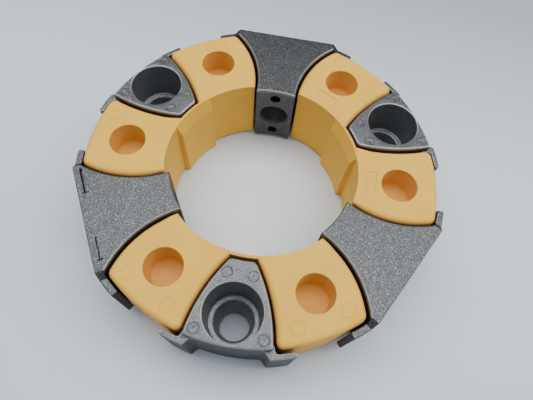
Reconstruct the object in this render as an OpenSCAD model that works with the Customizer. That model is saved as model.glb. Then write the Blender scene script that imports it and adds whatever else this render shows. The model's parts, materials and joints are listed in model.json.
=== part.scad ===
// Flexible flange coupling: a ring of elastomer blocks between cast inserts.
// Three axial inserts bolt to a flange, three radial inserts bolt to a hub inside the ring.
// Z = 0 is the flange face, +Z is the side that the bolt heads sit on, the axis is the shaft axis.

/* [Overall] */
// Height of the axial inserts, from the flange face to the bolt-head side
axial_h = 48; // [46:0.5:50]
// Bolt circle of the axial inserts
bolt_circle_d = 165; // [162:0.5:166]
// Diameter of the hub seat on the inner faces of the radial inserts
hub_seat_d = 101.6; // [100:0.2:103]
// Diameter over the ears of the axial inserts
axial_ear_d = 204.8; // [203:0.2:206]
// Clearance between the elastomer and the sides of the inserts
side_gap = 1.4; // [1:0.1:1.8]

/* [Axial inserts] */
// Radius of the narrow inner end
axial_tip_r = 56.5; // [56:0.1:57]
// Radius of the outer wall between the ears
axial_back_r = 98.2; // [97.5:0.1:98.6]
// Radius of the two bulging sides
axial_side_r = 87.5; // [87:0.1:88]
// Distance of the bulging sides' centre along the insert
axial_side_x = 106.3; // [106:0.1:107]
// Distance of the bulging sides' centre across the insert
axial_side_y = 65.4; // [65:0.1:66]
// Radius of the bolt hole at the flange face
bolt_hole_r = 8.5; // [8:0.1:9]
// Length of the straight part of the bolt hole
bolt_hole_l = 12; // [8:1:16]
// Radius of the bolt hole at the top of its tapered part
seat_hole_r = 10.4; // [9.5:0.1:11]
// Radius of the chamfer that leads from the bolt seat into the hole
seat_chamfer_r = 11.3; // [11:0.1:12]
// Depth of that chamfer
seat_chamfer_h = 1.4; // [1:0.1:2]
// Height of the bolt seat above the flange face
seat_z = 24; // [20:0.5:28]
// Radius of the bolt-head pocket at the seat
pocket_seat_r = 13.7; // [13:0.1:14]
// Radius of the bolt-head pocket at its mouth
pocket_mouth_r = 14.6; // [14:0.1:15]

/* [Ears of the axial inserts] */
// Height of the ledge on top of the ears, also on the radial inserts
ear_top_z = 43.7; // [42:0.1:45]
// Inner radius of the ears
axial_ear_inner_r = 99.8; // [99.4:0.1:100.4]
// Angle from the insert's middle to where an ear's root starts
axial_ear_root_a = 9.6; // [9:0.1:11]
// Angle from the insert's middle to an ear's tip
axial_ear_tip_a = 19.1; // [18:0.1:20]

/* [Radial inserts] */
// Lower face of the radial inserts
radial_bottom_z = 1.9; // [1:0.1:3]
// Upper face of the radial inserts
radial_top_z = 47.5; // [46:0.1:48]
// Distance from the axis to the flat outer face
radial_back_x = 97.7; // [97:0.1:98.4]
// Radius of the two hollow sides
radial_side_r = 55.7; // [55.2:0.1:56]
// Distance of the hollow sides' centre along the insert
radial_side_x = 50.8; // [50.4:0.1:51.4]
// Distance of the hollow sides' centre across the insert
radial_side_y = 67.7; // [67.4:0.1:68.2]
// Radius of the bolt hole
hub_bolt_r = 8.5; // [8:0.1:9]
// Length of the bolt hole, from the hub seat to the bolt seat
hub_bolt_l = 24; // [20:0.5:26]
// Radius of the bolt-head pocket
hub_pocket_r = 14; // [13:0.1:14.5]
// Radius of the pin holes above and below the bolt hole
pin_hole_r = 3; // [2.5:0.1:3.5]
// Depth of the pin holes
pin_hole_l = 12; // [8:1:16]
// Distance of the pin holes from the bolt hole
pin_offset_z = 16; // [14:0.5:17]
// Half width of the flat upper and lower faces
radial_flat_y = 30.9; // [30:0.1:31.5]
// Distance from the middle to where the slopes beside those faces reach the ears
radial_slope_y = 34.4; // [33.5:0.1:35]

/* [Ears of the radial inserts] */
// Inner radius of the ears
radial_ear_inner_r = 99.3; // [99:0.1:100]
// Outer radius of the ears
radial_ear_outer_r = 102.9; // [102.4:0.1:103.4]
// Angle from the insert's middle to an ear's tip
radial_ear_tip_a = 25.1; // [24:0.1:26]
// Lower face of the ears
radial_ear_bottom_z = 8.7; // [6:0.1:12]

/* [Elastomer segments] */
// Lower face of the lobes
lobe_bottom_z = 1.3; // [1:0.1:2]
// Upper face of the lobes and the web
lobe_top_z = 47.7; // [47:0.1:48]
// Outer radius of the lobes
lobe_outer_r = 98; // [97:0.1:98.5]
// Bore radius of the lobes at their upper face
lobe_bore_top_r = 53.7; // [53:0.1:54]
// Bore radius of the lobes at their lower face
lobe_bore_bottom_r = 54.3; // [54:0.1:54.6]
// Distance from the axis to the middle of the relief hole in a lobe
relief_r = 76.6; // [75:0.1:78]
// Angle from the segment's middle to a relief hole
relief_a = 29.5; // [29:0.1:30]
// Radius of a relief hole at its mouth
relief_mouth_r = 9.9; // [9:0.1:10.5]
// Radius of a relief hole at its bottom
relief_end_r = 9; // [8:0.1:9.5]
// Depth of a relief hole
relief_depth = 15.5; // [12:0.5:18]

/* [Web of the elastomer segments] */
// Outer radius of the web
web_outer_r = 55; // [54.6:0.1:55.5]
// Bore radius of the web at its lower edge
web_bottom_r = 50.9; // [50.5:0.1:52]
// Bore radius of the web where its steep upper part ends
web_knee_r = 51; // [50.5:0.1:53]
// Height of that knee
web_knee_z = 40; // [30:0.5:44]
// Lower edge of the web
web_bottom_z = 0.5; // [0.3:0.1:1]
// Angle from the segment's middle to where a step of the web meets a lobe
web_root_a = 15.3; // [15:0.1:18]
// Angle from the segment's middle to the front edge of a step
web_front_a = 14.4; // [14:0.1:15]

/* [Hidden] */

$fn = 96;
over = 1;                                       // how far a cut runs past the face it opens
pitch_a = 120;                                  // angle between like pieces
first_axial_a = -90;                            // axial insert 1 and elastomer segment 1
first_radial_a = 90;                            // radial insert 1
bolt_circle_r = bolt_circle_d / 2;
hub_seat_r = hub_seat_d / 2;
axial_ear_outer_r = axial_ear_d / 2;
radial_mid_z = (radial_bottom_z + radial_top_z) / 2;
hub_bolt_seat_x = hub_seat_r + hub_bolt_l;
reach = 2 * axial_ear_outer_r;                  // longer than anything in the plan
half_pitch_a = pitch_a / 2;                     // from an axial insert to the next radial one
axial_ear_block_a = 13.4;                       // an ear is full thickness up to here
radial_ear_start_a = 15;                        // inside the insert's corner
web_wedge_inner_r = 50;                         // inside the web's bore

metal = [0.52, 0.53, 0.54];
elastomer = [0.90, 0.74, 0.44];

// A point in the plan, from its radius and angle
function polar(r, a) = [r * cos(a), r * sin(a)];

// Turns a piece drawn along +X to its place, counted from 0
module placed(first_a, i) {
    rotate([0, 0, first_a + pitch_a * i])
        children();
}

// Both halves of a piece that is drawn on the +Y side
module both_sides() {
    children();
    mirror([0, 1, 0])
        children();
}

// A flat ring
module ring_plan(inner_r, outer_r) {
    difference() {
        circle(r = outer_r);
        circle(r = inner_r);
    }
}

// A piece of a flat ring between two angles
module sector_plan(inner_r, outer_r, from_a, to_a) {
    intersection() {
        ring_plan(inner_r, outer_r);
        polygon([[0, 0], polar(reach, from_a), polar(reach, to_a)]);
    }
}

// An axial insert above its ears: a shield shape with two bulging sides
module axial_shield_plan() {
    intersection() {
        ring_plan(axial_tip_r, axial_back_r);
        translate([axial_side_x, -axial_side_y])
            circle(r = axial_side_r);
        translate([axial_side_x, axial_side_y])
            circle(r = axial_side_r);
    }
}

// One ear of an axial insert: a thin tab round the lobe, and the block that joins it to the shield
module axial_ear_plan() {
    sector_plan(axial_ear_inner_r, axial_ear_outer_r, axial_ear_root_a, axial_ear_tip_a);
    intersection() {
        sector_plan(axial_back_r - over, axial_ear_outer_r, axial_ear_root_a, axial_ear_block_a);
        translate([axial_side_x, -axial_side_y])
            circle(r = axial_side_r);
    }
}

// The stepped hole of an axial insert, from the flange face up
module axial_hole() {
    seat_hole_top_z = seat_z - seat_chamfer_h;
    translate([bolt_circle_r, 0, 0]) {
        translate([0, 0, -over])
            cylinder(r = bolt_hole_r, h = bolt_hole_l + over);
        translate([0, 0, bolt_hole_l])
            cylinder(r1 = bolt_hole_r, r2 = seat_hole_r, h = seat_hole_top_z - bolt_hole_l);
        translate([0, 0, seat_hole_top_z])
            cylinder(r1 = seat_hole_r, r2 = seat_chamfer_r, h = seat_chamfer_h);
        translate([0, 0, seat_z])
            cylinder(r1 = pocket_seat_r, r2 = pocket_mouth_r, h = axial_h - seat_z);
        translate([0, 0, axial_h])
            cylinder(r = pocket_mouth_r, h = over);
    }
}

module axial_insert() {
    difference() {
        union() {
            linear_extrude(axial_h)
                axial_shield_plan();
            linear_extrude(ear_top_z)
                both_sides()
                    axial_ear_plan();
        }
        axial_hole();
    }
}

// A radial insert between its ears: hollow sides, a curved hub seat and a flat back
module radial_shield_plan() {
    difference() {
        intersection() {
            translate([0, -radial_slope_y])
                square([radial_back_x, 2 * radial_slope_y]);
            circle(r = radial_ear_outer_r);
        }
        circle(r = hub_seat_r);
        both_sides()
            translate([radial_side_x, radial_side_y])
                circle(r = radial_side_r);
    }
}

// One ear of a radial insert, cut off by the flat back
module radial_ear_plan() {
    intersection() {
        sector_plan(radial_ear_inner_r, radial_ear_outer_r, radial_ear_start_a, radial_ear_tip_a);
        square([radial_back_x, reach]);
    }
}

// A radial insert seen from the shaft: full height in the middle, sloping down to the ears
module radial_front() {
    polygon([
        [-hub_seat_r, radial_ear_bottom_z],
        [-radial_slope_y, radial_ear_bottom_z],
        [-radial_flat_y, radial_bottom_z],
        [radial_flat_y, radial_bottom_z],
        [radial_slope_y, radial_ear_bottom_z],
        [hub_seat_r, radial_ear_bottom_z],
        [hub_seat_r, ear_top_z],
        [radial_slope_y, ear_top_z],
        [radial_flat_y, radial_top_z],
        [-radial_flat_y, radial_top_z],
        [-radial_slope_y, ear_top_z],
        [-hub_seat_r, ear_top_z]
    ]);
}

// A hole along the insert, from one distance to another
module hole_along_x(r, from_x, to_x, z) {
    translate([from_x, 0, z])
        rotate([0, 90, 0])
            cylinder(r = r, h = to_x - from_x);
}

module radial_insert() {
    difference() {
        intersection() {
            linear_extrude(axial_h)
                union() {
                    radial_shield_plan();
                    both_sides()
                        radial_ear_plan();
                }
            rotate([90, 0, 90])
                linear_extrude(reach)
                    radial_front();
        }
        hole_along_x(hub_bolt_r, hub_seat_r / 2, hub_bolt_seat_x, radial_mid_z);
        hole_along_x(hub_pocket_r, hub_bolt_seat_x, radial_back_x + over, radial_mid_z);
        for (side = [-1, 1])
            hole_along_x(
                pin_hole_r, hub_seat_r / 2, hub_seat_r + pin_hole_l,
                radial_mid_z + side * pin_offset_z
            );
    }
}

// Plan of the lobe on the +Y side: hollow towards the axial insert, bulging towards the radial one
module lobe_plan() {
    difference() {
        intersection() {
            sector_plan(hub_seat_r, lobe_outer_r, 0, half_pitch_a);
            rotate([0, 0, half_pitch_a])
                translate([radial_side_x, -radial_side_y])
                    circle(r = radial_side_r - side_gap);
        }
        translate([axial_side_x, -axial_side_y])
            circle(r = axial_side_r + side_gap);
    }
}

// The ring that both lobes are cut from, with its slightly tapered bore
module lobe_ring() {
    rotate_extrude()
        polygon([
            [lobe_bore_bottom_r, lobe_bottom_z],
            [lobe_outer_r + over, lobe_bottom_z],
            [lobe_outer_r + over, lobe_top_z],
            [lobe_bore_top_r, lobe_top_z]
        ]);
}

// The thin web that joins two lobes at the bore, behind the axial insert
module web() {
    intersection() {
        rotate_extrude()
            polygon([
                [web_bottom_r, web_bottom_z],
                [web_outer_r, web_bottom_z],
                [web_outer_r, lobe_top_z],
                [lobe_bore_top_r, lobe_top_z],
                [web_knee_r, web_knee_z]
            ]);
        linear_extrude(axial_h)
            both_sides()
                polygon([
                    polar(web_wedge_inner_r, 0),
                    polar(web_outer_r + over, 0),
                    polar(web_outer_r + over, web_root_a),
                    polar(lobe_bore_top_r, web_root_a),
                    polar(web_knee_r, web_front_a),
                    polar(web_wedge_inner_r, web_front_a)
                ]);
    }
}

// A blind relief hole, drawn from its mouth downwards
module relief_hole() {
    translate([0, 0, -relief_depth])
        cylinder(r1 = relief_end_r, r2 = relief_mouth_r, h = relief_depth);
    cylinder(r = relief_mouth_r, h = over);
}

module elastomer_segment() {
    difference() {
        union() {
            intersection() {
                lobe_ring();
                linear_extrude(axial_h)
                    both_sides()
                        lobe_plan();
            }
            web();
        }
        for (side = [-1, 1])
            translate(polar(relief_r, side * relief_a)) {
                translate([0, 0, lobe_top_z])
                    relief_hole();
                translate([0, 0, lobe_bottom_z])
                    mirror([0, 0, 1])
                        relief_hole();
            }
    }
}

module axial_insert_1() { color(metal) placed(first_axial_a, 0) axial_insert(); }
module axial_insert_2() { color(metal) placed(first_axial_a, 1) axial_insert(); }
module axial_insert_3() { color(metal) placed(first_axial_a, 2) axial_insert(); }

module radial_insert_1() { color(metal) placed(first_radial_a, 0) radial_insert(); }
module radial_insert_2() { color(metal) placed(first_radial_a, 1) radial_insert(); }
module radial_insert_3() { color(metal) placed(first_radial_a, 2) radial_insert(); }

module elastomer_segment_1() { color(elastomer) placed(first_axial_a, 0) elastomer_segment(); }
module elastomer_segment_2() { color(elastomer) placed(first_axial_a, 1) elastomer_segment(); }
module elastomer_segment_3() { color(elastomer) placed(first_axial_a, 2) elastomer_segment(); }

axial_insert_1();
axial_insert_2();
axial_insert_3();
radial_insert_1();
radial_insert_2();
radial_insert_3();
elastomer_segment_1();
elastomer_segment_2();
elastomer_segment_3();
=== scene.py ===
"""Looks of the flexible flange coupling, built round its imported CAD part.

Each cast insert and each elastomer segment is remade with its rounded edges, moulding
marks and finish, and rides on the CAD body of the node that it stands for.
Plans are signed distances in millimetres, negative inside. A piece is drawn along +X
and turned to its place. Z = 0 is the flange face.
"""

import json
import math

import bmesh
import bpy
import numpy as np
from mathutils import Matrix, Vector
from mathutils.geometry import delaunay_2d_cdt


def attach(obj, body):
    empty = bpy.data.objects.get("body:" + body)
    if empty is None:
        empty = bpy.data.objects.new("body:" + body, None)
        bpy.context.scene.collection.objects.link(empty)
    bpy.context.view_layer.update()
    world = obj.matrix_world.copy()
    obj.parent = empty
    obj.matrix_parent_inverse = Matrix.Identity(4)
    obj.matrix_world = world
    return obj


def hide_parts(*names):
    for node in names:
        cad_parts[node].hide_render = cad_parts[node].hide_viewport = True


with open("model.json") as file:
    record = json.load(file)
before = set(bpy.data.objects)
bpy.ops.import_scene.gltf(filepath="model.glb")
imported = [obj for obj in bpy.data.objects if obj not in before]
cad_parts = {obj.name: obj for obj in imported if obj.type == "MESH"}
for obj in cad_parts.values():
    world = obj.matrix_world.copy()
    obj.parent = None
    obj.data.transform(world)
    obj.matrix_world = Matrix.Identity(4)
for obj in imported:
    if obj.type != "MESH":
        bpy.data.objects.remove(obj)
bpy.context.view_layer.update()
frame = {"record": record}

MM = 0.001
QUARTER = math.pi / 2

# Heights of the faces
AXIAL_TOP = 48.0
EAR_TOP = 43.7
RADIAL_BOTTOM = 1.9
RADIAL_TOP = 47.5
RADIAL_MID = (RADIAL_BOTTOM + RADIAL_TOP) / 2
LOBE_BOTTOM = 1.3
LOBE_TOP = 47.7

# Radii about the shaft axis
BOLT_CIRCLE_R = 82.5
HUB_SEAT_R = 50.8
EAR_OUTER_R = 102.4
RADIAL_EAR_OUTER_R = 102.9

# Arcs of the inserts' sides (centre and radius), and the gap from there to the elastomer
AXIAL_SIDE = (106.3, -65.4)
AXIAL_SIDE_R = 87.5
RADIAL_SIDE = (50.8, 67.7)
RADIAL_SIDE_R = 55.7
SIDE_GAP = 1.4

# How finely plans are traced and rounded edges are stepped
TRACE_STEP = 0.5
POINT_STEP = 0.45
EDGE_STEPS = 6
CIRCLE_POINTS = 96

# Points of a piece closer together than this become one
WELD = 0.004

# Corners sharper than this many degrees stay sharp in the shading
SHARP_ANGLE = 32

# Height below a rounded edge within which its painted wear and highlight end
WEAR_AND_HIGHLIGHT_FADE = 0.45

# Margin by which faces at a hole's mouth count as outside the hole
SEAM = 0.02


# ---- plans as signed distances -------------------------------------------------------


def radius(p, x=0.0, y=0.0):
    """Distance of the points from a centre."""
    return np.hypot(p[:, 0] - x, p[:, 1] - y)


def past_ray(p, angle):
    """Distance past a ray from the axis, on its anticlockwise side."""
    a = math.radians(angle)
    return p[:, 1] * math.cos(a) - p[:, 0] * math.sin(a)


def meet(a, b, corner):
    """What two plans share, with the corner rounded to a radius."""
    a, b = a + corner, b + corner
    outside = np.hypot(np.maximum(a, 0), np.maximum(b, 0))
    return np.minimum(np.maximum(a, b), 0) + outside - corner


def join(a, b, corner):
    """Two plans together, with the hollow corner between them filled to a radius."""
    inside = np.hypot(np.maximum(corner - a, 0), np.maximum(corner - b, 0))
    return np.maximum(corner, np.minimum(a, b)) - inside


def upper_half(p):
    """The points with those below the X axis folded up, for a plan with two like halves."""
    return np.stack([p[:, 0], np.abs(p[:, 1])], 1)


def rotated(p, angle):
    """The points turned anticlockwise about the axis."""
    a = math.radians(angle)
    x, y = p[:, 0], p[:, 1]
    turned_x = x * math.cos(a) - y * math.sin(a)
    turned_y = x * math.sin(a) + y * math.cos(a)
    return np.stack([turned_x, turned_y], 1)


def polar(r, angle):
    """The point at a radius and an angle in degrees."""
    a = math.radians(angle)
    return np.array([r * math.cos(a), r * math.sin(a)])


def smooth_step(x, start, end):
    """0 before the start, 1 past the end, and a smooth rise between them."""
    t = np.clip((x - start) / (end - start), 0, 1)
    return t * t * (3 - 2 * t)


def edge_drop(depth, size):
    """How far a rounded edge of a size lies below its face, at a depth in from the wall."""
    left = np.clip(1 - np.maximum(depth, 0) / size, 0, 1)
    return size * (1 - np.sqrt(1 - left**2))


# ---- tracing -------------------------------------------------------------------------


def settle(plan, points, level):
    """Moves points onto a plan's line at a level."""
    h = 0.01  # half the span of a slope
    for _ in range(3):
        gx = (plan(points + [h, 0]) - plan(points - [h, 0])) / (2 * h)
        gy = (plan(points + [0, h]) - plan(points - [0, h])) / (2 * h)
        g = np.stack([gx, gy], 1)
        size = np.maximum((g**2).sum(1), 0.25)
        points = points - g * ((plan(points) - level) / size)[:, None]
    return points


def even_loop(points, step):
    """The same closed line with its points spread evenly."""
    closed = np.vstack([points, points[:1]])
    along = np.concatenate([[0], np.cumsum(np.hypot(*np.diff(closed, axis=0).T))])
    count = max(12, int(round(along[-1] / step)))
    at = np.linspace(0, along[-1], count, endpoint=False)
    return np.stack([np.interp(at, along, closed[:, k]) for k in (0, 1)], 1)


def trace(plan, box, level=0.0):
    """The closed lines on which a plan has a level, anticlockwise round what is inside."""
    (x0, y0), (x1, y1) = box
    xs = np.arange(x0, x1 + TRACE_STEP, TRACE_STEP)
    ys = np.arange(y0, y1 + TRACE_STEP, TRACE_STEP)
    grid = np.stack(np.meshgrid(xs, ys, indexing="ij"), 2)
    f = plan(grid.reshape(-1, 2)).reshape(len(xs), len(ys)) - level
    f[f == 0] = 1e-9
    inside = f < 0

    def crossing(i, j, k, m):
        t = f[i, j] / (f[i, j] - f[k, m])
        return grid[i, j] * (1 - t) + grid[k, m] * t

    place, following = {}, {}
    corners_in = inside[:-1, :-1] * 1 + inside[1:, :-1] + inside[1:, 1:] + inside[:-1, 1:]
    for i, j in zip(*np.nonzero((corners_in > 0) & (corners_in < 4))):
        corners = [(i, j), (i + 1, j), (i + 1, j + 1), (i, j + 1)]
        leaving, entering = [], []
        for a, b in zip(corners, corners[1:] + corners[:1]):
            if inside[a] != inside[b]:
                key = (min(a, b), max(a, b))
                place[key] = crossing(*a, *b)
                (leaving if inside[a] else entering).append(key)
        for a, b in zip(leaving, entering):
            following[a] = b
    loops = []
    while following:
        start = key = next(iter(following))
        keys = []
        while key in following:
            keys.append(key)
            key = following.pop(key)
        points = np.array([place[k] for k in keys])
        if key == start and len(points) > 3:
            for _ in range(2):
                points = even_loop(settle(plan, points, level), POINT_STEP)
            loops.append(settle(plan, points, level))
    return loops


def circle(r, x=0.0, y=0.0, count=CIRCLE_POINTS):
    """A closed line of points round a centre."""
    a = np.linspace(0, 2 * math.pi, count, endpoint=False)
    return np.stack([x + r * np.cos(a), y + r * np.sin(a)], 1)


def level_circle(r, z, x, y):
    """A circle as points in space."""
    return np.column_stack([circle(r, x, y), np.full(CIRCLE_POINTS, z)])


def box_loop(center, size, angle, corner):
    """A rounded rectangle in the plan, turned to an angle."""
    hx, hy = size[0] / 2 - corner, size[1] / 2 - corner
    points = []
    for k, (sx, sy) in enumerate([(1, 1), (-1, 1), (-1, -1), (1, -1)]):
        for t in np.linspace(0, QUARTER, 4):
            a = k * QUARTER + t
            points.append((sx * hx + corner * math.cos(a), sy * hy + corner * math.sin(a)))
    a = math.radians(angle)
    turn = np.array([[math.cos(a), math.sin(a)], [-math.sin(a), math.cos(a)]])
    return np.array(points) @ turn + center


# ---- meshes --------------------------------------------------------------------------


class Shell:
    """A mesh in millimetres that is put together from caps, walls and turned holes."""

    def __init__(self):
        self.points = []
        self.faces = []
        self.count = 0

    def add(self, points, faces):
        self.points.append(np.asarray(points, float))
        self.faces.extend([tuple(i + self.count for i in f) for f in faces])
        self.count += len(points)

    def rows(self, rows, closed=True):
        """Quads between rows of the same number of points."""
        n = len(rows[0])
        last = n if closed else n - 1
        faces = []
        for k in range(len(rows) - 1):
            for i in range(last):
                j = (i + 1) % n
                faces.append((k * n + i, k * n + j, (k + 1) * n + j, (k + 1) * n + i))
        self.add(np.vstack(rows), faces)

    def cap(self, loops, inside, height, lines=()):
        """A face over the plan: closed loops and open lines become its edges."""
        flat, edges = [], []
        for line, closed in [(p, True) for p in loops] + [(p, False) for p in lines]:
            first, n = len(flat), len(line)
            flat.extend(Vector(p) for p in line)
            ends = n if closed else n - 1
            edges.extend((first + i, first + (i + 1) % n) for i in range(ends))
        points, _, faces = delaunay_2d_cdt(flat, edges, [], 0, 1e-5)[:3]
        points = np.array([tuple(p) for p in points])
        centers = np.array([points[list(f)].mean(0) for f in faces])
        keep = inside(centers)
        faces = [f for f, k in zip(faces, keep) if k]
        self.add(np.column_stack([points, height(points)]), faces)

    def wall(self, loop, low, high):
        """An upright wall over a loop between two heights, with rows where the painted edge
        wear and highlight fade.
        """
        z0, z1 = low(loop), high(loop)
        heights = (z0, z0 + WEAR_AND_HIGHLIGHT_FADE, z1 - WEAR_AND_HIGHLIGHT_FADE, z1)
        self.rows([np.column_stack([loop, z]) for z in heights])

    def turned(self, profile, x=0.0, y=0.0):
        """A turned surface about an upright axis, from (radius, height) pairs."""
        self.rows([level_circle(r, z, x, y) for r, z in profile])

    def disc(self, r, z, x=0.0, y=0.0):
        n = CIRCLE_POINTS
        points = np.vstack([level_circle(r, z, x, y), [[x, y, z]]])
        self.add(points, [(i, (i + 1) % n, n) for i in range(n)])

    def mesh(self, name, warp=None):
        points = np.vstack(self.points)
        if warp:
            points = warp(points)
        mesh = bpy.data.meshes.new(name)
        mesh.from_pydata((points * MM).tolist(), [], self.faces)
        work = bmesh.new()
        work.from_mesh(mesh)
        bmesh.ops.remove_doubles(work, verts=work.verts, dist=WELD * MM)
        loose = [v for v in work.verts if not v.link_faces]
        bmesh.ops.delete(work, geom=loose, context="VERTS")
        bmesh.ops.recalc_face_normals(work, faces=work.faces)
        work.to_mesh(mesh)
        work.free()
        return mesh


def steps_in(size):
    """Depths at which a rounded edge is stepped, to its flat face and a little past."""
    angles = np.linspace(0, QUARTER, EDGE_STEPS + 1)[1:]
    return [size * (1 - math.cos(a)) for a in angles] + [size + 0.25]


def edge_loops(plan, box, size):
    """The lines along which a rounded edge is stepped."""
    return [loop for depth in steps_in(size) for loop in trace(plan, box, -depth)]


def soften(mesh):
    """Smooth shading, with the sharp edges kept."""
    mesh.shade_smooth()
    mesh.set_sharp_from_angle(angle=math.radians(SHARP_ANGLE))


def wear_and_highlight_on_edge(depth, below, size):
    """Share of the painted edge wear and highlight: 1 on a rounded edge and 0 on the faces,
    by the depths in plan and below the face.
    """
    across = 1 - smooth_step(depth, 0.7 * size, size)
    return across * (1 - smooth_step(below, size, size + WEAR_AND_HIGHLIGHT_FADE))


def set_edge_wear_and_painted_light(mesh, share):
    """Stores each vertex's share of the edge colour, by a function of the points: wear with
    a painted highlight on the metal, painted shade on the elastomer.
    """
    points = np.array([v.co for v in mesh.vertices]) / MM
    layer = mesh.attributes.new("edge_wear_and_painted_light", "FLOAT", "POINT")
    layer.data.foreach_set("value", np.clip(share(points), 0, 1))


def cut(mesh, cutters):
    """The mesh with closed cutters taken away."""
    body = bpy.data.objects.new("cut_body", mesh)
    bpy.context.scene.collection.objects.link(body)
    tools = []
    for k, cutter in enumerate(cutters):
        tool = bpy.data.objects.new("cut_tool_%d" % k, cutter)
        bpy.context.scene.collection.objects.link(tool)
        change = body.modifiers.new("cut", "BOOLEAN")
        change.operation = "DIFFERENCE"
        change.solver = "EXACT"
        change.object = tool
        tools.append(tool)
    bpy.context.view_layer.update()
    evaluated = body.evaluated_get(bpy.context.evaluated_depsgraph_get())
    result = bpy.data.meshes.new_from_object(evaluated)
    for o in [body] + tools:
        bpy.data.objects.remove(o)
    return result


def rod_along_x(profile, y, z, count=64):
    """A closed turned cutter along X, from (distance, radius) pairs."""
    a = np.linspace(0, 2 * math.pi, count, endpoint=False)
    shell = Shell()
    rows = [
        np.column_stack([np.full(count, x), y + r * np.cos(a), z + r * np.sin(a)])
        for x, r in profile
    ]
    shell.rows(rows)
    for row in (rows[0], rows[-1]):
        shell.add(row, [tuple(range(count))])
    return shell.mesh("rod")


# ---- marks left by the mould -----------------------------------------------------------


def ring_mark_loops(x, y, r, width):
    """Circles across a ring mark and beside it, so that the mesh can follow the groove."""
    return [circle(r + k * width, x, y, 40) for k in (-1.8, -1.0, -0.3, 0.3, 1.0, 1.8)]


def ring_mark_depth(p, x, y, r, width, depth):
    """A round groove left by an ejector pin."""
    away = np.abs(radius(p, x, y) - r)
    return depth * (1 - smooth_step(away, 0.4 * width, width))


# ---- elastomer segment -----------------------------------------------------------------

LOBE_OUTER_R = 98.0
LOBE_BORE_R = 53.7
LOBE_BORE_EDGE = 0.25
LOBE_BORE_FLARE = 0.6
LOBE_FLARE_END_R = 58
LOBE_FLARE_FADE = 4
LOBE_CORNER_BY_RADIAL = 2.2
LOBE_CORNER_BY_AXIAL = 4.0
LOBE_BOX = ((26, 2), (100, 92))

# The rounded edge at the sides: full size beyond one radius, half of it within the other
SIDE_EDGE = 3.1
SIDE_EDGE_HALF_R = 55
SIDE_EDGE_FULL_R = 64

# The blind relief hole in each face
RELIEF_R = 76.6
RELIEF_ANGLE = 29.5
RELIEF_MOUTH_R = 9.9
RELIEF_END_R = 9.0
RELIEF_DEPTH = 15.5
RELIEF_MOUTH_EDGE = 0.5
RELIEF_END_EDGE = 1.6

# Marks in the lobes' upper faces: their places are (radius, angle)
LOBE_MARKS = ((90.3, 20.2), (90.3, 36.7))
LOBE_MARK_R = 3.5
LOBE_MARK_WIDTH = 0.45
LOBE_MARK_DEPTH = 0.26
LABEL_R = 61.3
LABEL_ANGLE = 29.9
LABEL_SIZE = (5.3, 12.9)
LABEL_CORNER = 0.7
LABEL_GROOVE = 0.45
LABEL_DEPTH = 0.5


def lobe_side(p):
    """The lobe without its bore: hollow to the axial insert, bulging to the radial one."""
    x, y = RADIAL_SIDE
    (bulge_center,) = rotated(np.array([[x, -y]]), 60)
    hollow = AXIAL_SIDE_R + SIDE_GAP - radius(p, *AXIAL_SIDE)
    bulge = radius(p, *bulge_center) - (RADIAL_SIDE_R - SIDE_GAP)
    outer = radius(p) - LOBE_OUTER_R
    to_radial = meet(bulge, outer, LOBE_CORNER_BY_RADIAL)
    return meet(to_radial, hollow, LOBE_CORNER_BY_AXIAL)


def lobe_plan(p):
    """The lobe with its bore."""
    return meet(lobe_side(p), LOBE_BORE_R - radius(p), LOBE_BORE_EDGE)


def lobe_edge(p):
    """Size of the rounded edge, smaller beside the bore."""
    away = smooth_step(radius(p), SIDE_EDGE_HALF_R, SIDE_EDGE_FULL_R)
    return SIDE_EDGE * (0.5 + 0.5 * away)


def lobe_drop(p):
    """How far the lobe's rounded edge lies below its face."""
    return edge_drop(-lobe_side(p), lobe_edge(p))


def relief_profile(face, into):
    """A relief hole's wall from its mouth at a face, up or down by the sign of into."""
    mouth_e, end_e = RELIEF_MOUTH_EDGE, RELIEF_END_EDGE
    floor = face + into * RELIEF_DEPTH
    mouth, end = [], []
    for a in np.linspace(0, QUARTER, 5):
        out, off = 1 - math.sin(a), 1 - math.cos(a)
        mouth.append((RELIEF_MOUTH_R + mouth_e * out, face + into * mouth_e * off))
        end.append((RELIEF_END_R - end_e * off, floor - into * end_e * out))
    return mouth + end + [(RELIEF_END_R - end_e - 0.5, floor)]


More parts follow.
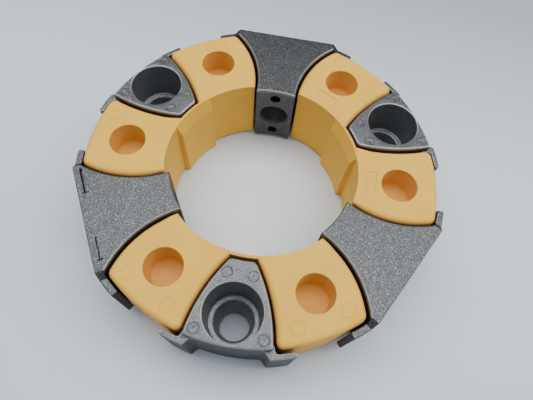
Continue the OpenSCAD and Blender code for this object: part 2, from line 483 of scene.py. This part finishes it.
def lobe_shell(with_label):
    """The lobe anticlockwise of the web, with or without the label's outline."""
    shell = Shell()
    hx, hy = polar(RELIEF_R, RELIEF_ANGLE)
    mouth_r = RELIEF_MOUTH_R + RELIEF_MOUTH_EDGE
    outline = trace(lobe_plan, LOBE_BOX)
    loops = outline + edge_loops(lobe_plan, LOBE_BOX, SIDE_EDGE)
    loops = loops + [circle(mouth_r, hx, hy), circle(mouth_r + 0.25, hx, hy)]
    marks = [polar(*m) for m in LOBE_MARKS]
    mark = (LOBE_MARK_R, LOBE_MARK_WIDTH)
    top_loops = loops + [line for m in marks for line in ring_mark_loops(*m, *mark)]
    label_center = polar(LABEL_R, LABEL_ANGLE)
    if with_label:
        for grow in (0.0, -LABEL_GROOVE):
            size = [s + 2 * grow for s in LABEL_SIZE]
            top_loops.append(box_loop(label_center, size, LABEL_ANGLE, LABEL_CORNER + grow))

    def inside(p):
        return (lobe_plan(p) < 0) & (radius(p, hx, hy) > mouth_r - SEAM)

    def label_depth(p):
        a = math.radians(LABEL_ANGLE)
        q = p - label_center
        u = np.abs(q[:, 0] * math.cos(a) + q[:, 1] * math.sin(a)) - LABEL_SIZE[0] / 2
        v = np.abs(q[:, 1] * math.cos(a) - q[:, 0] * math.sin(a)) - LABEL_SIZE[1] / 2
        return LABEL_DEPTH * smooth_step(-meet(u, v, LABEL_CORNER), 0.0, LABEL_GROOVE)

    def top(p):
        z = LOBE_TOP - lobe_drop(p)
        for x, y in marks:
            z = z - ring_mark_depth(p, x, y, *mark, LOBE_MARK_DEPTH)
        return z - label_depth(p) if with_label else z

    def bottom(p):
        return LOBE_BOTTOM + lobe_drop(p)

    shell.cap(top_loops, inside, top)
    shell.cap(loops, inside, bottom)
    for loop in outline:
        shell.wall(loop, bottom, top)
    for face, into in ((LOBE_TOP, -1), (LOBE_BOTTOM, 1)):
        profile = relief_profile(face, into)
        shell.turned(profile, hx, hy)
        shell.disc(*profile[-1], hx, hy)
    return shell


def flare_bore(points):
    """Opens the bore a little towards the lower face."""
    r = np.hypot(points[:, 0], points[:, 1])
    low = np.clip((LOBE_TOP - points[:, 2]) / (LOBE_TOP - LOBE_BOTTOM), 0, 1)
    near = np.clip((LOBE_FLARE_END_R - r) / LOBE_FLARE_FADE, 0, 1)
    grow = 1 + LOBE_BORE_FLARE * low * near / r
    return points * np.column_stack([grow, grow, np.ones(len(r))])


# The thin wall between two lobes. Its bore leans in from the top to a knee, and a slope
# joins it to each lobe between two angles from the segment's middle
WEB_TOP = 47.66
WEB_BOTTOM = 0.5
WEB_OUTER_R = 55.0
WEB_KNEE_R = 51.0
WEB_KNEE_Z = 40.0
WEB_BOTTOM_R = 50.9
WEB_FRONT_ANGLE = 14.4
WEB_ROOT_ANGLE = 15.3
WEB_HIDDEN_R = 54.8


def web_shell():
    """The thin wall behind the axial insert, with a step to the lobe at each end."""
    slope = (LOBE_BORE_R - WEB_KNEE_R) / (WEB_ROOT_ANGLE - WEB_FRONT_ANGLE)
    hidden_angle = WEB_FRONT_ANGLE + (WEB_HIDDEN_R - WEB_KNEE_R) / slope
    front = np.linspace(0, WEB_FRONT_ANGLE, 20)
    step = np.linspace(WEB_FRONT_ANGLE, hidden_angle, 25)
    half = [(a, 0.0) for a in front]
    half += [(a, WEB_KNEE_R + slope * (a - WEB_FRONT_ANGLE)) for a in step]
    columns = [(-a, r) for a, r in reversed(half[1:])] + half
    upper = np.linspace(WEB_TOP, WEB_KNEE_Z, 25)
    lower = np.linspace(WEB_KNEE_Z, WEB_BOTTOM, 12)[1:]

    def bore_r(z):
        if z > WEB_KNEE_Z:
            share = (z - WEB_KNEE_Z) / (LOBE_TOP - WEB_KNEE_Z)
            return WEB_KNEE_R + share * (LOBE_BORE_R - WEB_KNEE_R)
        share = (WEB_KNEE_Z - z) / (WEB_KNEE_Z - WEB_BOTTOM)
        return WEB_KNEE_R + share * (WEB_BOTTOM_R - WEB_KNEE_R)

    rows = []
    for z in np.concatenate([upper, lower]):
        rows.append([(*polar(max(bore_r(z), r), a), z) for a, r in columns])
    for z in (WEB_BOTTOM, WEB_TOP):
        rows.append([(*polar(WEB_OUTER_R, a), z) for a, _ in columns])
    rows.append(rows[0])
    shell = Shell()
    shell.rows([np.array(r) for r in rows], closed=False)
    return shell


def mirrored(mesh):
    """A copy of the mesh on the other side of the X axis."""
    copy = mesh.copy()
    copy.transform(Matrix.Scale(-1, 4, (0, 1, 0)))
    copy.flip_normals()
    return copy


def merged(name, meshes):
    """One mesh from several."""
    work = bmesh.new()
    for m in meshes:
        work.from_mesh(m)
    mesh = bpy.data.meshes.new(name)
    work.to_mesh(mesh)
    work.free()
    return mesh


def segment_mesh(name, with_label):
    """Two lobes and their web, with the relief holes in the second material, a darker copy
    of the elastomer that paints shade into them.
    """
    lobe = lobe_shell(with_label).mesh("lobe", warp=flare_bore)
    web = web_shell().mesh("web")
    mesh = merged(name, [lobe, mirrored(lobe), web])
    # The faces in the relief holes take the darker elastomer: painted shade
    hx, hy = polar(RELIEF_R, RELIEF_ANGLE)
    for face in mesh.polygons:
        away = math.hypot(face.center.x - hx * MM, abs(face.center.y) - hy * MM)
        if away < (RELIEF_MOUTH_R + 0.05) * MM:
            face.material_index = 1

    def painted_gap_shade(points):
        """Share of painted shade: 1 on the sides that face the inserts across the gaps, 0
        on the faces and in the bore.
        """
        p = points[:, :2]
        side = 1 - smooth_step(-lobe_side(upper_half(p)), 0, 0.5 * SIDE_EDGE)
        side = side * smooth_step(radius(p), LOBE_BORE_R + 0.2, WEB_OUTER_R)
        return side * smooth_step(LOBE_OUTER_R - radius(p), -5, 4)

    # Painted shade on the sides beside the inserts, stored for the elastomer's colour
    set_edge_wear_and_painted_light(mesh, painted_gap_shade)
    soften(mesh)
    return mesh


# ---- axial insert ----------------------------------------------------------------------

# The shield-shaped body
AXIAL_TIP_R = 56.5
AXIAL_TIP_CORNER = 1.5
AXIAL_BACK_R = 98.2
AXIAL_BACK_CORNER = 0.7
AXIAL_EDGE = 1.1
AXIAL_BOTTOM_EDGE = 0.6
AXIAL_BOX = ((50, -30), (108, 30))

# The ears round the lobes and the blocks that join them to the body
EAR_INNER_R = 99.8
EAR_ROOT_ANGLE = 11.0
EAR_BAND_ANGLE = EAR_ROOT_ANGLE + 1.6
EAR_TIP_ANGLE = 19.1
EAR_ROOT_R = AXIAL_BACK_R - 4
EAR_CLEAR_R = 88
EAR_CORNER = 0.2
EAR_BAND_CORNER = 0.4
EAR_TIP_CORNER = 0.9
EAR_FILLET = 3.0
EAR_BAND_FILLET = 3.2
EAR_EDGE = 0.4
EAR_BOTTOM = 0.3
EAR_BOX = ((80, -40), (108, 40))

# The lobe's turn toward the insert at the joint's limit, and the gap left there
TWIST = 0.7
TWIST_GAP = 0.2

# The stepped hole for the screw
POCKET_MOUTH_R = 14.6
POCKET_END_R = 13.7
POCKET_EDGE = 0.6
POCKET_CORNER = 0.9
POCKET_CLEAR_R = 16.2
SEAT_INNER_R = 11.6
SEAT_ROUND = (1.3, 1.6)
SEAT_Z = 24
FLANGE_MOUTH_R = 9.22
# Radius within which faces take the lighter pocket metal, as painted light
LIT_POCKET_R = 14.9

# The bore below the seat, tapered at first, as (radius, height)
BORE_PROFILE = ((10.2, 22.0), (8.6, 12.5), (8.5, 11.5), (8.5, 0.72), (FLANGE_MOUTH_R, 0.0))

# Marks in the upper face: rings with a dot in the middle
AXIAL_MARKS = ((63.9, 6.6), (63.9, -6.6), (92.6, 16.5), (92.6, -16.5))
AXIAL_MARK_R = 2.6
AXIAL_MARK_WIDTH = 0.4
AXIAL_MARK_DEPTH = 0.22
AXIAL_DOT = (0.2, 0.6)
AXIAL_DOT_DEPTH = 0.15


def axial_sides(p):
    """The two bulging sides, with no ends."""
    return radius(upper_half(p), *AXIAL_SIDE) - AXIAL_SIDE_R


def axial_shield_plan(p):
    """The body, between the bore and the outer wall."""
    tip = meet(axial_sides(p), AXIAL_TIP_R - radius(p), AXIAL_TIP_CORNER)
    return meet(tip, radius(p) - AXIAL_BACK_R, AXIAL_BACK_CORNER)


def axial_ear_plan(p):
    """Both ears and their blocks, kept clear of the screw pocket and the twisted lobes."""
    q = upper_half(p)
    outer = radius(q) - EAR_OUTER_R
    band = meet(outer, EAR_INNER_R - radius(q), EAR_BAND_CORNER)
    band = meet(band, past_ray(q, EAR_TIP_ANGLE), EAR_TIP_CORNER)
    band = meet(band, -past_ray(q, EAR_BAND_ANGLE), EAR_CORNER)
    root = meet(outer, -past_ray(q, EAR_ROOT_ANGLE), EAR_FILLET)
    root = meet(root, axial_sides(p), EAR_CORNER)
    root = meet(root, EAR_ROOT_R - radius(q), EAR_CORNER)
    ears = join(root, band, EAR_BAND_FILLET)
    just_inside = axial_shield_plan(p) + 0.05
    whole = np.maximum(join(ears, just_inside, EAR_FILLET), outer)
    pocket = POCKET_CLEAR_R - radius(p, BOLT_CIRCLE_R)
    clear = np.maximum(pocket, EAR_CLEAR_R - radius(p))
    clear = np.maximum(clear, TWIST_GAP - lobe_side(rotated(q, TWIST)))
    return np.maximum(whole, clear)


def axial_hole_profile():
    """The screw pocket, its rounded seat and the bolt hole, from the top down."""
    mouth, seat_corner, seat_round = [], [], []
    round_width, round_height = SEAT_ROUND
    for a in np.linspace(0, QUARTER, 5):
        out, off = 1 - math.sin(a), 1 - math.cos(a)
        mouth.append((POCKET_MOUTH_R + POCKET_EDGE * out, AXIAL_TOP - POCKET_EDGE * off))
        seat_corner.append(
            (POCKET_END_R - POCKET_CORNER * off, SEAT_Z + POCKET_CORNER * out)
        )
        seat_round.append(
            (SEAT_INNER_R - round_width * math.sin(a), SEAT_Z - round_height * off)
        )
    mouth.append((POCKET_MOUTH_R, AXIAL_TOP - POCKET_EDGE - WEAR_AND_HIGHLIGHT_FADE))
    return mouth + seat_corner + seat_round + list(BORE_PROFILE)


def axial_mesh(name):
    """The shield and its ears, with the faces of the hole in the second material, a lighter
    copy of the metal that paints light into the hole.
    """
    shield = Shell()
    outline = trace(axial_shield_plan, AXIAL_BOX)
    mouth_r = POCKET_MOUTH_R + POCKET_EDGE
    loops = outline + edge_loops(axial_shield_plan, AXIAL_BOX, AXIAL_EDGE)
    hole_x = BOLT_CIRCLE_R
    top_loops = loops + [circle(mouth_r, hole_x)]
    mark = (AXIAL_MARK_R, AXIAL_MARK_WIDTH)
    for x, y in AXIAL_MARKS:
        top_loops += ring_mark_loops(x, y, *mark)
        top_loops += [circle(k, x, y, 16) for k in AXIAL_DOT]

    def top(p):
        z = AXIAL_TOP - edge_drop(-axial_shield_plan(p), AXIAL_EDGE)
        for x, y in AXIAL_MARKS:
            z = z - ring_mark_depth(p, x, y, *mark, AXIAL_MARK_DEPTH)
            z = z - AXIAL_DOT_DEPTH * (1 - smooth_step(radius(p, x, y), *AXIAL_DOT))
        return z

    def bottom(p):
        return edge_drop(-axial_shield_plan(p), AXIAL_BOTTOM_EDGE)

    def inside_top(p):
        return (axial_shield_plan(p) < 0) & (radius(p, hole_x) > mouth_r - SEAM)

    def inside_bottom(p):
        return (axial_shield_plan(p) < 0) & (radius(p, hole_x) > FLANGE_MOUTH_R - SEAM)

    shield.cap(top_loops, inside_top, top)
    shield.cap(loops + [circle(FLANGE_MOUTH_R, hole_x)], inside_bottom, bottom)
    for loop in outline:
        shield.wall(loop, bottom, top)
    shield.turned(axial_hole_profile(), hole_x)

    ears = Shell()
    ear_outline = trace(axial_ear_plan, EAR_BOX)
    ear_loops = ear_outline + edge_loops(axial_ear_plan, EAR_BOX, EAR_EDGE)

    def ear_top(p):
        return EAR_TOP - edge_drop(-axial_ear_plan(p), EAR_EDGE)

    def ear_bottom(p):
        return EAR_BOTTOM + edge_drop(-axial_ear_plan(p), EAR_EDGE)

    def inside_ear(p):
        return axial_ear_plan(p) < 0

    ears.cap(ear_loops, inside_ear, ear_top)
    ears.cap(ear_loops, inside_ear, ear_bottom)
    for loop in ear_outline:
        ears.wall(loop, ear_bottom, ear_top)
    mesh = merged(name, [shield.mesh("shield"), ears.mesh("ears")])
    # Faces of the hole take the lighter pocket metal: painted light in the hole
    for face in mesh.polygons:
        if math.hypot(face.center.x - hole_x * MM, face.center.y) < LIT_POCKET_R * MM:
            face.material_index = 1

    # Rounded edges and the pocket's mouth are painted bright: partly wear, partly a painted
    # highlight
    def wear_and_highlight(points):
        p, z = points[:, :2], points[:, 2]
        shield_wear_and_highlight = wear_and_highlight_on_edge(-axial_shield_plan(p), AXIAL_TOP - z, AXIAL_EDGE)
        ear_wear_and_highlight = wear_and_highlight_on_edge(-axial_ear_plan(p), np.abs(EAR_TOP - z), EAR_EDGE)
        hole_r = radius(p, hole_x)
        into_face = mouth_r - hole_r - POCKET_EDGE
        mouth_wear_and_highlight = wear_and_highlight_on_edge(into_face, AXIAL_TOP - z, POCKET_EDGE)
        at_mouth = (hole_r < mouth_r - SEAM) & (hole_r > POCKET_MOUTH_R - 0.3)
        return np.maximum(np.maximum(shield_wear_and_highlight, ear_wear_and_highlight), mouth_wear_and_highlight * at_mouth)

    set_edge_wear_and_painted_light(mesh, wear_and_highlight)
    soften(mesh)
    return mesh


# ---- radial insert ---------------------------------------------------------------------

RADIAL_BACK_X = 97.7
RADIAL_BACK_CORNER = 0.8
RADIAL_CORNER = 0.5
RADIAL_EDGE = 1.2
RADIAL_SMALL_EDGE = 0.45
RADIAL_BOX = ((44, -50), (105, 50))

# The ears, and the slopes that lead down and up to them, as distances from the middle
RADIAL_EAR_INNER_R = 99.3
RADIAL_EAR_TIP_ANGLE = 25.1
RADIAL_EAR_ROOT_ANGLE = 15
RADIAL_EAR_BOTTOM = 8.7
RADIAL_EAR_FILLET = 0.6
SLOPE_START = 30.9
SLOPE_END = 34.4
RADIAL_BODY_HALF = SLOPE_END + 1.5

# The holes toward the hub
HUB_BOLT_R = 8.5
HUB_BOLT_SEAT_X = HUB_SEAT_R + 24
HUB_POCKET_R = 14.0
PIN_R = 3.0
PIN_DEPTH = 12.0
PIN_OFFSET = 16.0


def radial_plan(p):
    """The body between its two hollow sides, with an ear at each."""
    q = upper_half(p)
    side = RADIAL_SIDE_R - radius(q, *RADIAL_SIDE)
    body = meet(side, HUB_SEAT_R - radius(q), RADIAL_CORNER)
    body = meet(body, q[:, 1] - RADIAL_BODY_HALF, 0.1)
    ear_inner, ear_tip = RADIAL_EAR_INNER_R - radius(q), past_ray(q, RADIAL_EAR_TIP_ANGLE)
    ear = meet(ear_inner, ear_tip, RADIAL_CORNER)
    ear = meet(ear, -past_ray(q, RADIAL_EAR_ROOT_ANGLE), 0.1)
    whole = join(body, ear, RADIAL_EAR_FILLET)
    whole = meet(whole, radius(q) - RADIAL_EAR_OUTER_R, RADIAL_CORNER)
    return meet(whole, q[:, 0] - RADIAL_BACK_X, RADIAL_BACK_CORNER)


def radial_edge(p):
    """Size of the rounded edge, small on the ears and along the back."""
    q = upper_half(p)
    on_ear, on_back = smooth_step(q[:, 1], 30.0, 32.5), smooth_step(q[:, 0], 94.5, 96.5)
    small = np.maximum(on_ear, on_back)
    return RADIAL_EDGE - (RADIAL_EDGE - RADIAL_SMALL_EDGE) * small


def away_from(p, start, end):
    """Distance of the points from a straight line between two points."""
    a, b = np.array(start), np.array(end)
    t = np.clip(((p - a) @ (b - a)) / ((b - a) @ (b - a)), 0, 1)
    return np.hypot(*(p - a - t[:, None] * (b - a)).T)


def round_line(start, end, r):
    """The closed line at a distance round a straight one."""
    a, b = np.array(start), np.array(end)
    heading = math.atan2(b[1] - a[1], b[0] - a[0])
    turn = np.linspace(-QUARTER, QUARTER, 7)
    far = [b + r * np.array([math.cos(heading + t), math.sin(heading + t)]) for t in turn]
    near = [a - r * np.array([math.cos(heading + t), math.sin(heading + t)]) for t in turn]
    return np.array(far + near)


def radial_mesh(name, scores=()):
    """The casting with its bores. Scores are straight marks in the upper face.

    A score is (start, end, half width, depth).
    """
    shell = Shell()
    outline = trace(radial_plan, RADIAL_BOX)
    loops = outline + edge_loops(radial_plan, RADIAL_BOX, RADIAL_EDGE)
    lines = []
    for bend in (SLOPE_START, SLOPE_END):
        for y in (bend - 0.3, bend, bend + 0.3):
            for side in (-1, 1):
                lines.append([(x, side * y) for x in np.linspace(85, 103, 28)])
    score_loops = [
        round_line(start, end, k * width)
        for start, end, width, _ in scores for k in (0.3, 1.0, 1.8)
    ]

    def down(p):
        """How far down the slope to the ear's ledge a point is, from 0 to 1."""
        y = np.abs(p[:, 1])
        straight = np.clip((y - SLOPE_START) / (SLOPE_END - SLOPE_START), 0, 1)
        return 0.8 * straight + 0.2 * smooth_step(y, SLOPE_START, SLOPE_END)

    def score_depth(p):
        depth = np.zeros(len(p))
        for start, end, width, deep in scores:
            across = 1 - smooth_step(away_from(p, start, end), 0.3 * width, width)
            depth = np.maximum(depth, deep * across)
        return depth

    def top(p):
        face = RADIAL_TOP - (RADIAL_TOP - EAR_TOP) * down(p)
        return face - edge_drop(-radial_plan(p), radial_edge(p)) - score_depth(p)

    def bottom(p):
        face = RADIAL_BOTTOM + (RADIAL_EAR_BOTTOM - RADIAL_BOTTOM) * down(p)
        return face + edge_drop(-radial_plan(p), radial_edge(p))

    def inside(p):
        return radial_plan(p) < 0

    shell.cap(loops + score_loops, inside, top, lines)
    shell.cap(loops, inside, bottom, lines)
    for loop in outline:
        shell.wall(loop, bottom, top)
    start, back = HUB_SEAT_R - 5, RADIAL_BACK_X + 1
    bolt = [
        (start, HUB_BOLT_R + 5.3), (HUB_SEAT_R - 0.3, HUB_BOLT_R + 0.6),
        (HUB_SEAT_R + 0.3, HUB_BOLT_R), (HUB_BOLT_SEAT_X, HUB_BOLT_R),
        (HUB_BOLT_SEAT_X, HUB_POCKET_R), (RADIAL_BACK_X - 0.6, HUB_POCKET_R),
        (back, HUB_POCKET_R + 1.6),
    ]
    cutters = [rod_along_x(bolt, 0, RADIAL_MID)]
    pin_start = HUB_SEAT_R - 0.4
    for side in (-1, 1):
        pin = [
            (start, PIN_R + 5), (pin_start, PIN_R + 0.4), (pin_start + 0.6, PIN_R),
            (HUB_SEAT_R + PIN_DEPTH, PIN_R), (HUB_SEAT_R + PIN_DEPTH + 1.5, 0.1),
        ]
        cutters.append(rod_along_x(pin, 0, RADIAL_MID + side * PIN_OFFSET, 40))
    result = cut(shell.mesh(name), cutters)
    result.name = name

    # The larger rounded edges are painted bright: partly wear, partly a painted highlight
    def wear_and_highlight(points):
        p, z = points[:, :2], points[:, 2]
        face = RADIAL_TOP - (RADIAL_TOP - EAR_TOP) * down(p)
        edge = radial_edge(p)
        large = (edge - RADIAL_SMALL_EDGE) / (RADIAL_EDGE - RADIAL_SMALL_EDGE)
        return large * wear_and_highlight_on_edge(-radial_plan(p), face - z, edge)

    # Faces of the bores take the lighter pocket metal: painted light in the bores
    for face in result.polygons:
        hole_r = HUB_BOLT_R if face.center.x < HUB_BOLT_SEAT_X * MM else HUB_POCKET_R
        away = math.hypot(face.center.y, face.center.z - RADIAL_MID * MM)
        if away < (hole_r + 0.05) * MM:
            face.material_index = 1
    set_edge_wear_and_painted_light(result, wear_and_highlight)
    soften(result)
    return result


# ---- finishes --------------------------------------------------------------------------


def new_material(name):
    """A material with a Principled shader and nothing else."""
    material = bpy.data.materials.new(name)
    material.use_nodes = True
    nodes = material.node_tree.nodes
    nodes.clear()
    output = nodes.new("ShaderNodeOutputMaterial")
    shader = nodes.new("ShaderNodeBsdfPrincipled")
    material.node_tree.links.new(shader.outputs[0], output.inputs[0])
    return material, shader


def noise(material, scale, detail=2.0, roughness=0.5, offset=0.0):
    """Noise over the object's own space, at a scale per metre."""
    tree = material.node_tree
    coordinates = tree.nodes.new("ShaderNodeTexCoord")
    shift = tree.nodes.new("ShaderNodeVectorMath")
    shift.operation = "ADD"
    shift.inputs[1].default_value = (offset, offset, offset)
    texture = tree.nodes.new("ShaderNodeTexNoise")
    texture.inputs["Scale"].default_value = scale
    texture.inputs["Detail"].default_value = detail
    texture.inputs["Roughness"].default_value = roughness
    tree.links.new(coordinates.outputs["Object"], shift.inputs[0])
    tree.links.new(shift.outputs[0], texture.inputs["Vector"])
    return texture.outputs[0]


def ramp(material, source, stops):
    """Maps a 0 to 1 value to colours given as (position, colour) stops."""
    tree = material.node_tree
    node = tree.nodes.new("ShaderNodeValToRGB")
    elements = node.color_ramp.elements
    while len(elements) < len(stops):
        elements.new(0.5)
    for element, (position, color) in zip(elements, stops):
        element.position = position
        element.color = (*color, 1)
    tree.links.new(source, node.inputs[0])
    return node.outputs[0]


def bump(material, source, distance, strength, normal=None):
    """A normal for a height map, on top of another normal where one is given."""
    tree = material.node_tree
    node = tree.nodes.new("ShaderNodeBump")
    node.inputs["Strength"].default_value = strength
    node.inputs["Distance"].default_value = distance
    tree.links.new(source, node.inputs["Height"])
    if normal is not None:
        tree.links.new(normal, node.inputs["Normal"])
    return node.outputs[0]


def grey(value, tint=(1.0, 1.0, 1.0)):
    """A brightness as a colour, with a tint on it."""
    return tuple(value * t for t in tint)


def edge_wear_and_painted_light(material):
    """The share of the edge colour that set_edge_wear_and_painted_light stored."""
    share = material.node_tree.nodes.new("ShaderNodeAttribute")
    share.attribute_name = "edge_wear_and_painted_light"
    return share.outputs["Fac"]


def mixed(material, share, first, second):
    """A colour that goes from the first to the second by a share."""
    tree = material.node_tree
    node = tree.nodes.new("ShaderNodeMix")
    node.data_type = "RGBA"
    tree.links.new(share, node.inputs["Factor"])
    for socket, value in ((node.inputs[6], first), (node.inputs[7], second)):
        if isinstance(value, tuple):
            socket.default_value = (*value, 1)
        else:
            tree.links.new(value, socket)
    return node.outputs[2]


def cast_metal(name, brightness, metallic, edge_tint, wear_and_highlight_brightness):
    """Shot-blasted aluminium: a fine sparkling grain, and rounded edges painted bright,
    partly as wear and partly as a painted highlight.
    """
    material, shader = new_material(name)
    tree = material.node_tree
    cool = (0.955, 1.0, 1.05)
    grain = noise(material, 2600, 2.0, 0.6)
    color = ramp(
        material, grain,
        [
            (0.32, grey(0.6 * brightness, cool)), (0.5, grey(brightness, cool)),
            (0.61, grey(1.6 * brightness, cool)), (0.72, grey(0.5)),
        ],
    )
    # Rounded edges are mixed toward a brighter grey: partly wear, partly a painted
    # highlight
    worn_and_highlit = mixed(material, edge_wear_and_painted_light(material), color, grey(wear_and_highlight_brightness))
    tree.links.new(worn_and_highlit, shader.inputs["Base Color"])
    shader.inputs["Metallic"].default_value = metallic
    shader.inputs["Specular Tint"].default_value = (*grey(edge_tint), 1)
    rough = ramp(
        material, noise(material, 1500, 2.0, 0.5, 3.0),
        [(0.3, grey(0.42)), (0.7, grey(0.28))],
    )
    tree.links.new(rough, shader.inputs["Roughness"])
    pits = bump(material, noise(material, 900, 3.0, 0.6, 7.0), 0.0004, 0.5)
    fine = bump(material, grain, 0.0002, 0.7, pits)
    tree.links.new(fine, shader.inputs["Normal"])
    return material


def elastomer(name, first, second):
    """Moulded elastomer between two tones: smooth, slightly translucent, with painted shade
    that browns the sides facing the inserts.
    """
    material, shader = new_material(name)
    tree = material.node_tree
    tone = ramp(
        material, noise(material, 45, 3.0, 0.5),
        [(0.35, first), (0.65, second)],
    )
    # Painted shade: the sides in the gaps beside the inserts are mixed toward a dark brown
    color = mixed(material, edge_wear_and_painted_light(material), tone, (0.68, 0.32, 0.09))
    tree.links.new(color, shader.inputs["Base Color"])
    shader.inputs["Roughness"].default_value = 0.5
    shader.inputs["Specular IOR Level"].default_value = 0.12
    shader.inputs["Subsurface Weight"].default_value = 0.08
    shader.inputs["Subsurface Radius"].default_value = (1.0, 0.45, 0.15)
    shader.inputs["Subsurface Scale"].default_value = 0.003
    waves = bump(material, noise(material, 160, 3.0, 0.5, 5.0), 0.0003, 0.12)
    tree.links.new(waves, shader.inputs["Normal"])
    return material


def floor_paper():
    """Pale paper with painted shade: its colour gets a little darker behind the ring,
    standing in for the light's falloff.
    """
    material, shader = new_material("floor_paper")
    tree = material.node_tree
    tone = ramp(
        material, noise(material, 25, 4.0, 0.6),
        [(0.3, (0.652, 0.724, 0.792)), (0.7, (0.672, 0.744, 0.812))],
    )
    # Painted shade: the colour darkens along a slanted line behind the ring
    coordinates = tree.nodes.new("ShaderNodeTexCoord")
    away = tree.nodes.new("ShaderNodeVectorMath")
    away.operation = "DOT_PRODUCT"
    away.inputs[1].default_value = (0.15, 1.0, 0.0)
    tree.links.new(coordinates.outputs["Object"], away.inputs[0])
    share = ramp(material, away.outputs["Value"], [(0.06, grey(0.0)), (0.24, grey(1.0))])
    color = mixed(material, share, tone, (0.37, 0.425, 0.465))
    tree.links.new(color, shader.inputs["Base Color"])
    shader.inputs["Roughness"].default_value = 0.6
    return material


# ---- the pieces in their places --------------------------------------------------------

AXIAL_METAL = cast_metal("axial_metal", 0.115, 0.85, 0.35, 0.32)
# Painted light: a lighter, more diffuse copy of the metal for the faces of the holes, whose
# walls lie in shade
LIT_POCKET_METAL = cast_metal("lit_pocket_metal", 0.17, 0.6, 0.8, 0.5)
RADIAL_METAL = cast_metal("radial_metal", 0.085, 0.85, 0.35, 0.22)
ELASTOMER = elastomer("elastomer", (0.81, 0.47, 0.058), (0.85, 0.505, 0.07))
# Painted shade: a darker, redder copy of the elastomer for the faces inside the relief
# holes
RELIEF_PAINTED_SHADE_ELASTOMER = elastomer("relief_elastomer_painted_shade", (0.64, 0.325, 0.068), (0.68, 0.35, 0.078))


def place(name, mesh, angle, materials, material_slot):
    """Puts a mesh drawn along +X at an angle, to stand for the CAD node of like name."""
    mesh = mesh.copy()
    mesh.transform(Matrix.Rotation(math.radians(angle), 4, "Z"))
    for material in materials:
        mesh.materials.append(material)
    piece = bpy.data.objects.new(name + "_look", mesh)
    bpy.context.scene.collection.objects.link(piece)
    bodies = frame["record"]["behaviour"]["bodies"]
    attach(piece, next(body for body, nodes in bodies.items() if name in nodes))
    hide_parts(name)


# The straight marks in the left radial insert
SCORES = (
    ((93.6, -28.0), (93.6, -13.6), 0.8, 1.7),
    ((92.4, -13.4), (95.2, -13.4), 0.45, 0.8),
    ((93.6, 13.3), (93.6, 25.2), 0.5, 1.0),
    ((92.5, 25.3), (94.9, 25.3), 0.45, 0.8),
)
axial_finish = ([AXIAL_METAL, LIT_POCKET_METAL], "cast_aluminium")
radial_finish = ([RADIAL_METAL, LIT_POCKET_METAL], "cast_aluminium")
segment_finish = ([ELASTOMER, RELIEF_PAINTED_SHADE_ELASTOMER], "elastomer")
axial = axial_mesh("axial_insert")
segment = segment_mesh("segment", with_label=False)
labelled_segment = segment_mesh("labelled_segment", with_label=True)
radial = radial_mesh("radial_insert")
scored_radial = radial_mesh("scored_radial_insert", SCORES)

for i in range(3):
    angle = -90 + 120 * i
    number = i + 1
    place("axial_insert_%d" % number, axial, angle, *axial_finish)
    shape = labelled_segment if number == 2 else segment
    place("elastomer_segment_%d" % number, shape, angle, *segment_finish)
    shape = scored_radial if number == 2 else radial
    place("radial_insert_%d" % number, shape, angle + 180, *radial_finish)


# ---- floor, light and camera -----------------------------------------------------------

FLOOR_HALF = 3.0
FLOOR_Z = -0.0001

floor_mesh = bpy.data.meshes.new("floor")
floor_corners = [
    (x * FLOOR_HALF, y * FLOOR_HALF, FLOOR_Z)
    for x, y in ((-1, -1), (1, -1), (1, 1), (-1, 1))
]
floor_mesh.from_pydata(floor_corners, [], [(0, 1, 2, 3)])
floor_mesh.materials.append(floor_paper())
floor = bpy.data.objects.new("floor", floor_mesh)
bpy.context.scene.collection.objects.link(floor)


def area_light(name, position, target, size, power):
    """A soft rectangular light in metres and watts, aimed at a point."""
    light = bpy.data.lights.new(name, "AREA")
    light.shape = "RECTANGLE"
    light.size, light.size_y = size
    light.energy = power
    lamp = bpy.data.objects.new(name, light)
    bpy.context.scene.collection.objects.link(lamp)
    lamp.location = position
    aim = Vector(target) - Vector(position)
    lamp.rotation_euler = aim.to_track_quat("-Z", "Y").to_euler()


# A wide strip overhead toward the back right, and a weak fill from the front
area_light("ceiling_light", (0.4, 0.22, 1.0), (0.4, 0.21, 0), (2.6, 0.65), 26)
area_light("front_light", (0.0, -0.9, 0.9), (0.0, 0.0, 0), (1.2, 1.2), 3)

world = bpy.data.worlds.new("room")
world.use_nodes = True
background = world.node_tree.nodes["Background"]
background.inputs["Color"].default_value = (0.88, 0.93, 1.0, 1)
background.inputs["Strength"].default_value = 0.2
bpy.context.scene.world = world

# The camera looks down on the ring from the front, turned a little about its own axis
CAMERA_AZIMUTH = 3.235
CAMERA_ELEVATION = 64.292
CAMERA_ROLL = 6.787
CAMERA_DISTANCE = 0.2240
CAMERA_TARGET = Vector((0.006033, -0.021911, LOBE_TOP * MM))
CAMERA_LENS = 28.5

az, el, roll = (math.radians(a) for a in (CAMERA_AZIMUTH, CAMERA_ELEVATION, CAMERA_ROLL))
back = Vector((math.sin(az) * math.cos(el), -math.cos(az) * math.cos(el), math.sin(el)))
right = Vector((math.cos(az), math.sin(az), 0))
up = back.cross(right)
turned_right = right * math.cos(roll) + up * math.sin(roll)
turned_up = up * math.cos(roll) - right * math.sin(roll)

lens = bpy.data.cameras.new("camera")
lens.lens = CAMERA_LENS
lens.sensor_width = 36.0
lens.clip_start = 0.01
camera = bpy.data.objects.new("camera", lens)
bpy.context.scene.collection.objects.link(camera)
turn = Matrix((turned_right, turned_up, back)).transposed().to_4x4()
camera.matrix_world = Matrix.Translation(CAMERA_TARGET + back * CAMERA_DISTANCE) @ turn
bpy.context.scene.camera = camera
